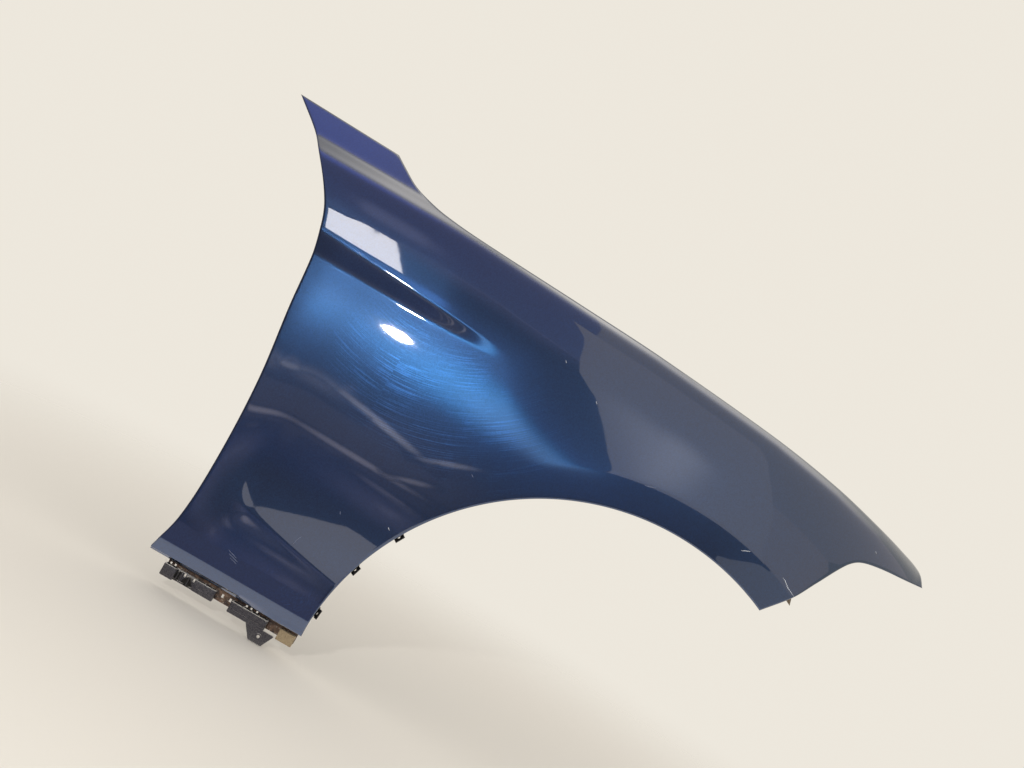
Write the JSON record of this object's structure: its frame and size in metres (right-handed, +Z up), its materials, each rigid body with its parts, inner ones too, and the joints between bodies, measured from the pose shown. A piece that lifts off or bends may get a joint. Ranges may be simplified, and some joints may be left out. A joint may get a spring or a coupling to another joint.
{
  "type": "car fender",
  "caption": "Right-hand front fender of a passenger car: pressed steel skin with wheel arch, stepped character line and folded flanges, with sill holders and clip nuts.",
  "frame": {"origin": "on the inner face of the sill flange, in the middle of its height and in the bare stretch between the front holder and the end pad, where it seats on the sill", "axes": "+X forward along the car, +Y inboard toward the car's middle, +Z up; the painted face looks toward -Y"},
  "size_m": [1.11, 0.1827, 0.6755],
  "materials": {
    "blue_metallic_paint": "gloss metallic, worn",
    "black_moulded_plastic": "dusty satin",
    "dusty_rubber": "dusty, rough",
    "dark_zinc_plate": "dark plated spring steel",
    "primed_steel": "dull olive brown primer"
  },
  "bodies": {
    "root": {"fender_skin": "blue_metallic_paint", "rear_sill_holder": "black_moulded_plastic", "front_sill_holder": "black_moulded_plastic", "sill_end_pad": "dusty_rubber", "arch_clip_nut_1": "dark_zinc_plate", "arch_clip_nut_2": "dark_zinc_plate", "arch_clip_nut_3": "dark_zinc_plate", "bumper_bracket": "primed_steel"}
  },
  "joints": []
}
